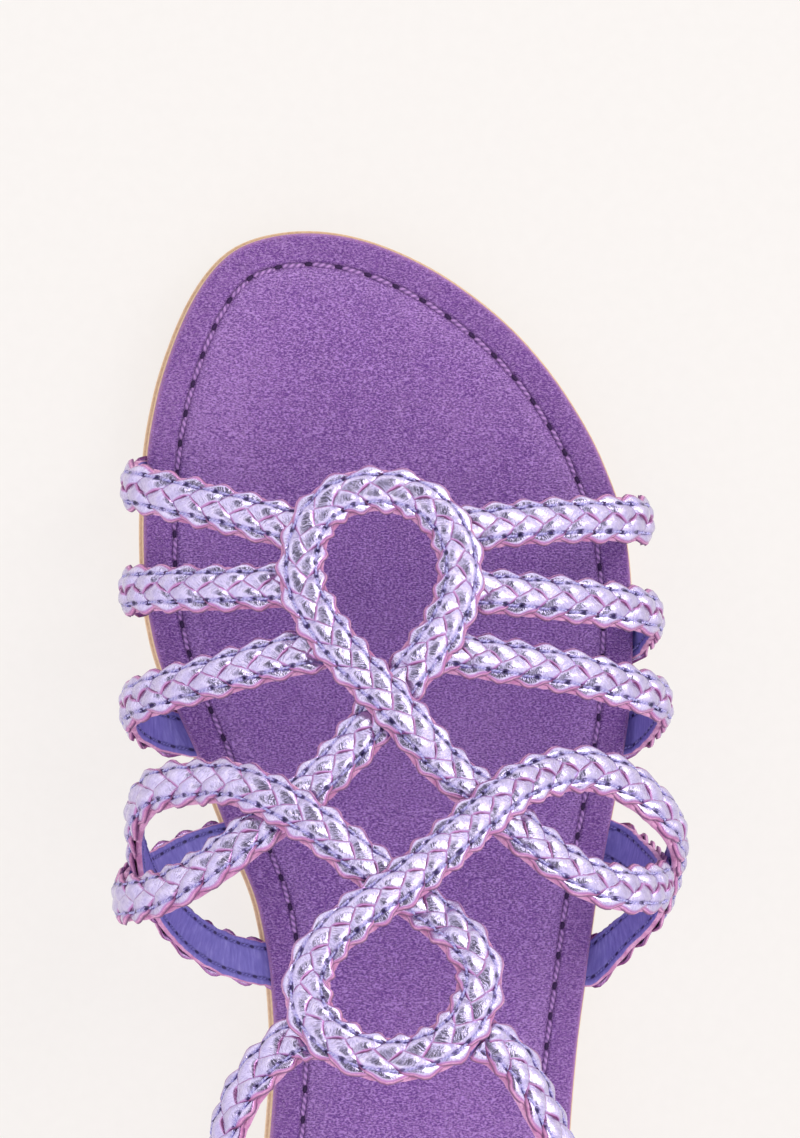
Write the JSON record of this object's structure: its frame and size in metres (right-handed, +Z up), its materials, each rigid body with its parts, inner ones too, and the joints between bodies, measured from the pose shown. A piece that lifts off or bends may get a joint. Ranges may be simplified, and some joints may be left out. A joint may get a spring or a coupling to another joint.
{
  "type": "braided leather sandal",
  "caption": "Flat open sandal with a looped upper of plaited leather straps, suede footbed, low heel and heel strap.",
  "frame": {"origin": "on the floor, below the middle of the shoe's box", "axes": "+Z up, +Y towards the toe, +X towards the outer side of this right shoe"},
  "size_m": [0.0998, 0.247, 0.0825],
  "materials": {
    "outsole": "tan leather-look resin sole, satin edge",
    "heel_lift": "tan stacked heel, matt",
    "footbed_suede": "purple suede, napped",
    "plaited_leather": "metallic lavender foil leather",
    "lining": "blue-violet smooth lining leather",
    "thread": "lavender sewing thread",
    "footbed_thread": "dark purple sewing thread"
  },
  "bodies": {
    "root": {"outsole": "outsole", "heel_lift": "heel_lift", "footbed": "footbed_suede", "upper": "plaited_leather"}
  },
  "joints": []
}
